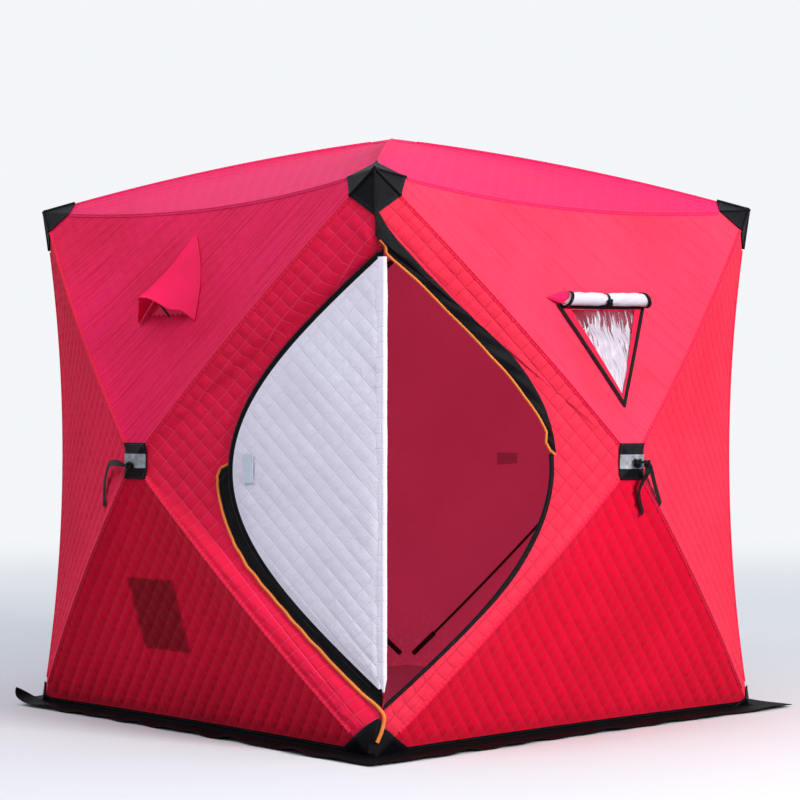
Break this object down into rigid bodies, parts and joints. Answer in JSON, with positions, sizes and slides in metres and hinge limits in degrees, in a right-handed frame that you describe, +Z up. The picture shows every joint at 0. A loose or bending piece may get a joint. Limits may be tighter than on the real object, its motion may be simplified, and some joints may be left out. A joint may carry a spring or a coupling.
{
  "type": "ice fishing hut",
  "caption": "Pop-up ice fishing hut with quilted walls and roof pushed out by pole hubs, a lens-shaped zip door on one corner folded open, windows, vent hoods and a snow skirt.",
  "frame": {"origin": "on the ground at the centre of the square footprint", "axes": "+Z up; the front wall faces -Y, the right wall faces +X, and the door is on the corner between them"},
  "size_m": [2.362, 2.362, 2.0419],
  "materials": {
    "wall": "quilted red nylon",
    "roof": "quilted red nylon",
    "lining": "quilted white lining",
    "trim": "black nylon",
    "piping": "orange corded edge",
    "reflective": "grey reflective tape",
    "clear": "soft clear film",
    "pole": "black glass-fibre rod",
    "plastic": "black moulded plastic"
  },
  "bodies": {
    "hut": {"roof_front_panel": "roof", "roof_right_panel": "roof", "roof_back_panel": "roof", "roof_left_panel": "roof", "front_wall_top_panel": "wall", "front_wall_left_panel": "wall", "front_wall_bottom_panel": "wall", "front_wall_door_panel": "wall", "right_wall_top_panel": "wall", "right_wall_back_panel": "wall", "right_wall_bottom_panel": "wall", "right_wall_door_panel": "wall", "back_wall_top_panel": "wall", "back_wall_left_panel": "wall", "back_wall_bottom_panel": "wall", "back_wall_right_panel": "wall", "left_wall_top_panel": "wall", "left_wall_front_panel": "wall", "left_wall_bottom_panel": "wall", "left_wall_back_panel": "wall", "pole_hubs": "plastic", "roof_poles": "pole", "wall_poles": "pole", "pole_sleeves": "trim", "door_fixed_half": "wall", "storm_flap_upper": "trim", "storm_flap_lower": "trim", "storm_piping": "piping", "door_zips": "trim", "window_borders": "trim", "window_panes": "clear", "window_rolls": "lining", "vent_hoods": "wall", "vent_struts": "plastic", "front_skirt": "trim", "right_skirt": "trim", "back_skirt": "trim", "left_skirt": "trim", "top_corner_patches": "trim", "bottom_corner_patches": "trim", "hub_patches": "trim", "reflective_bands": "reflective", "pull_straps": "trim", "inner_pocket": "trim"},
    "door": {"door_flap": "lining"}
  },
  "joints": [
    {"name": "door_fold", "type": "hinge", "parent": "hut", "child": "door", "pos_m": [0.90759, -0.86638, 0.876], "axis": [0, 0, 1], "range_deg": [0, 236.88]}
  ]
}
